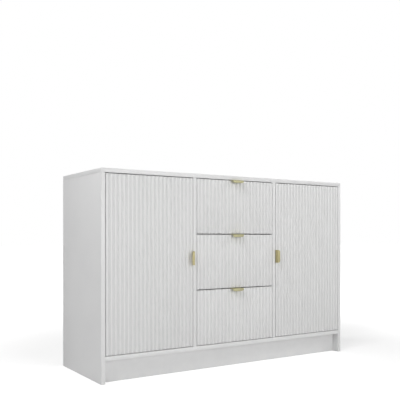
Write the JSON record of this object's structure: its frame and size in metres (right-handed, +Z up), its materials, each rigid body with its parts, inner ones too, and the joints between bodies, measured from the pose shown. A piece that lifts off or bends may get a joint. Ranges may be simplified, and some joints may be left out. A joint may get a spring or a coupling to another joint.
{
  "type": "sideboard buffet",
  "caption": "White sideboard with vertically fluted fronts: drawers in the middle between two hinged doors, small brass edge-pull handles and a recessed plinth.",
  "frame": {"origin": "on the floor, at the middle of the width and of the whole depth with the handles", "axes": "+X to the right of a person facing the front, +Y towards the wall behind, +Z up"},
  "size_m": [1.2, 0.41, 0.784],
  "materials": {
    "white_board": "melamine-faced particleboard, satin white with a fine pore texture",
    "fluted_white": "grooved fibreboard wrapped in satin white foil",
    "white_sheet": "thin hardboard sheet, printed matt white",
    "pale_brass": "pale brushed brass sheet",
    "nickel_steel": "nickel-plated pressed steel",
    "white_steel": "white epoxy-coated rolled steel"
  },
  "bodies": {
    "carcass": {"top_panel": "white_board", "bottom_panel": "white_board", "left_side_panel": "white_board", "left_partition": "white_board", "right_side_panel": "white_board", "right_partition": "white_board", "back_panel": "white_sheet", "plinth_front": "white_board", "plinth_rear": "white_board", "plinth_brace": "white_board", "left_shelf": "white_board", "right_shelf": "white_board", "left_upper_hinge_arm": "nickel_steel", "left_lower_hinge_arm": "nickel_steel", "right_upper_hinge_arm": "nickel_steel", "right_lower_hinge_arm": "nickel_steel", "lower_left_cabinet_runner": "white_steel", "lower_right_cabinet_runner": "white_steel", "middle_left_cabinet_runner": "white_steel", "middle_right_cabinet_runner": "white_steel", "upper_left_cabinet_runner": "white_steel", "upper_right_cabinet_runner": "white_steel"},
    "left_door": {"left_door_panel": "fluted_white", "left_door_handle": "pale_brass", "left_upper_hinge_cup": "nickel_steel", "left_lower_hinge_cup": "nickel_steel"},
    "left_door_links": {"left_upper_hinge_link": "nickel_steel", "left_lower_hinge_link": "nickel_steel"},
    "right_door": {"right_door_panel": "fluted_white", "right_door_handle": "pale_brass", "right_upper_hinge_cup": "nickel_steel", "right_lower_hinge_cup": "nickel_steel"},
    "right_door_links": {"right_upper_hinge_link": "nickel_steel", "right_lower_hinge_link": "nickel_steel"},
    "upper_drawer": {"upper_drawer_front": "fluted_white", "upper_drawer_handle": "pale_brass", "upper_drawer_left_side": "white_board", "upper_drawer_right_side": "white_board", "upper_drawer_back": "white_board", "upper_drawer_bottom": "white_sheet", "upper_drawer_left_runner": "white_steel", "upper_drawer_right_runner": "white_steel"},
    "middle_drawer": {"middle_drawer_front": "fluted_white", "middle_drawer_handle": "pale_brass", "middle_drawer_left_side": "white_board", "middle_drawer_right_side": "white_board", "middle_drawer_back": "white_board", "middle_drawer_bottom": "white_sheet", "middle_drawer_left_runner": "white_steel", "middle_drawer_right_runner": "white_steel"},
    "lower_drawer": {"lower_drawer_front": "fluted_white", "lower_drawer_handle": "pale_brass", "lower_drawer_left_side": "white_board", "lower_drawer_right_side": "white_board", "lower_drawer_back": "white_board", "lower_drawer_bottom": "white_sheet", "lower_drawer_left_runner": "white_steel", "lower_drawer_right_runner": "white_steel"}
  },
  "joints": [
    {"name": "left_door_hinge", "type": "hinge", "parent": "carcass", "child": "left_door", "pos_m": [-0.581, -0.188, 0.434], "axis": [0, 0, -1], "range_deg": [0, 105]},
    {"name": "left_link_pivot", "type": "hinge", "parent": "carcass", "child": "left_door_links", "pos_m": [-0.581, -0.188, 0.434], "axis": [0, 0, -1], "range_deg": [0, 58]},
    {"name": "right_door_hinge", "type": "hinge", "parent": "carcass", "child": "right_door", "pos_m": [0.581, -0.188, 0.434], "axis": [0, 0, 1], "range_deg": [0, 105]},
    {"name": "right_link_pivot", "type": "hinge", "parent": "carcass", "child": "right_door_links", "pos_m": [0.581, -0.188, 0.434], "axis": [0, 0, 1], "range_deg": [0, 58]},
    {"name": "upper_drawer_slide", "type": "slide", "parent": "carcass", "child": "upper_drawer", "axis": [0, -1, 0], "range_m": [0, 0.26]},
    {"name": "middle_drawer_slide", "type": "slide", "parent": "carcass", "child": "middle_drawer", "axis": [0, -1, 0], "range_m": [0, 0.26]},
    {"name": "lower_drawer_slide", "type": "slide", "parent": "carcass", "child": "lower_drawer", "axis": [0, -1, 0], "range_m": [0, 0.26]}
  ],
  "couplings": [
    {"joint": "left_link_pivot", "follows": "left_door_hinge", "ratio": 0.55},
    {"joint": "right_link_pivot", "follows": "right_door_hinge", "ratio": 0.55}
  ]
}
